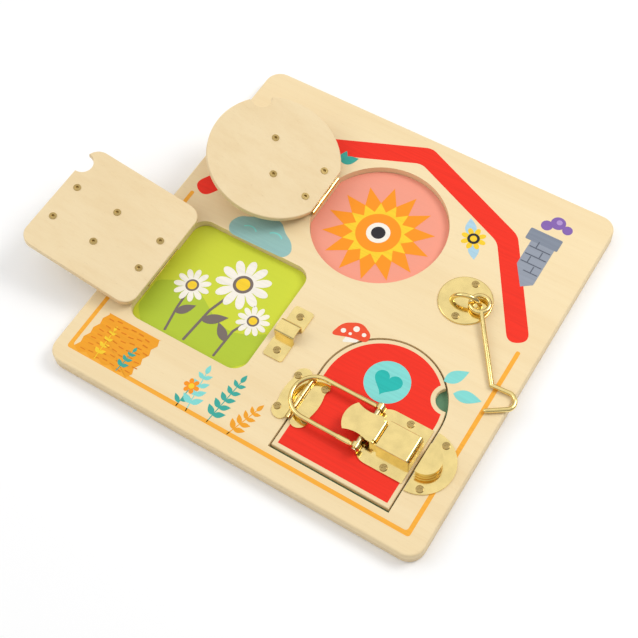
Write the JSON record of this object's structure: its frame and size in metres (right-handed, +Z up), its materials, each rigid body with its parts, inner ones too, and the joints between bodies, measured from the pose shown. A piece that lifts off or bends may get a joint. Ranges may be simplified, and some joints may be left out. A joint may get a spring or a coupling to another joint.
{
  "type": "wooden busy board",
  "caption": "Square wooden latch board for toddlers with three hinged doors over picture recesses, a slide bolt, a hook and eye and a toggle latch.",
  "frame": {"origin": "centre of the board's flat underside", "axes": "+Z up out of the board's face, +X to the right along the front edge, +Y to the back edge"},
  "size_m": [0.3672, 0.3, 0.0495],
  "materials": {
    "pale_wood": "satin",
    "door_wood": "satin",
    "square_picture": "matte",
    "round_picture": "matte",
    "barn_picture": "matte",
    "brass": "polished",
    "screw_brass": "polished"
  },
  "bodies": {
    "board": {"front_panel": "pale_wood", "back_panel": "pale_wood", "square_picture_card": "square_picture", "round_picture_card": "round_picture", "barn_picture_card": "barn_picture", "square_hinge_board_leaf": "brass", "round_hinge_board_leaf": "brass", "barn_hinge_board_leaf": "brass", "square_hinge_pin": "brass", "round_hinge_pin": "brass", "barn_hinge_pin": "brass", "hinge_board_screws": "screw_brass", "bolt_keeper": "brass", "keeper_screws": "screw_brass", "hook_plate": "brass", "hook_staple": "brass", "hook_plate_screws": "screw_brass", "latch_catch": "brass", "catch_screws": "screw_brass"},
    "square_door": {"square_door_panel": "door_wood", "square_hinge_door_leaf": "brass", "square_door_screws": "screw_brass", "square_door_nuts": "brass", "bolt_plate": "brass"},
    "slide_bolt": {"bolt_bar": "brass", "bolt_knob": "brass"},
    "round_door": {"round_door_panel": "door_wood", "round_hinge_door_leaf": "brass", "round_door_screws": "screw_brass", "round_door_nuts": "brass", "eye_plate": "brass", "eye_staple": "brass"},
    "barn_door": {"barn_door_panel": "door_wood", "barn_hinge_door_leaf": "brass", "barn_door_screws": "screw_brass", "barn_door_nuts": "brass", "latch_base": "brass", "lever_pin": "brass"},
    "hook": {"swing_hook": "brass"},
    "lever": {"latch_lever": "brass"},
    "cross_pin": {"bail_pin": "brass"},
    "bushes": {"bail_bushes": "brass"},
    "bail": {"latch_bail": "brass"}
  },
  "joints": [
    {"name": "square_door_hinge", "type": "hinge", "parent": "board", "child": "square_door", "pos_m": [-0.1186, -0.0504, 0.0142], "axis": [0, -1, 0], "range_deg": [-169, 0]},
    {"name": "bolt_slide", "type": "slide", "parent": "square_door", "child": "slide_bolt", "axis": [0.9816, 0, -0.1908], "range_m": [-0.018, 0]},
    {"name": "round_door_hinge", "type": "hinge", "parent": "board", "child": "round_door", "pos_m": [-0.0485, 0.0623, 0.0142], "axis": [0, -1, 0], "range_deg": [-163, 0]},
    {"name": "hook_swing", "type": "hinge", "parent": "board", "child": "hook", "pos_m": [0.09599, 0.03599, 0.0168], "axis": [0, 0, 1], "range_deg": [0, 217]},
    {"name": "barn_door_hinge", "type": "hinge", "parent": "board", "child": "barn_door", "pos_m": [0.02525, -0.0885, 0.0142], "axis": [0, -1, 0], "range_deg": [0, 165]},
    {"name": "latch_lever_hinge", "type": "hinge", "parent": "barn_door", "child": "lever", "pos_m": [0.0852, -0.0864, 0.0186], "axis": [0, -1, 0], "range_deg": [-90, 0]},
    {"name": "bail_pin_turn", "type": "hinge", "parent": "lever", "child": "cross_pin", "pos_m": [0.077, -0.0864, 0.0181], "axis": [0, -1, 0], "range_deg": [0, 90]},
    {"name": "bail_bush_turn", "type": "hinge", "parent": "cross_pin", "child": "bushes", "pos_m": [0.077, -0.0864, 0.0181], "axis": [0, -1, 0], "range_deg": [-165, 0]},
    {"name": "bail_swing", "type": "hinge", "parent": "bushes", "child": "bail", "pos_m": [0.077, -0.0864, 0.0181], "axis": [0, -1, 0], "range_deg": [-176, 0]}
  ],
  "couplings": [
    {"joint": "bail_pin_turn", "follows": "latch_lever_hinge", "ratio": -1},
    {"joint": "bail_bush_turn", "follows": "barn_door_hinge", "ratio": -1}
  ]
}
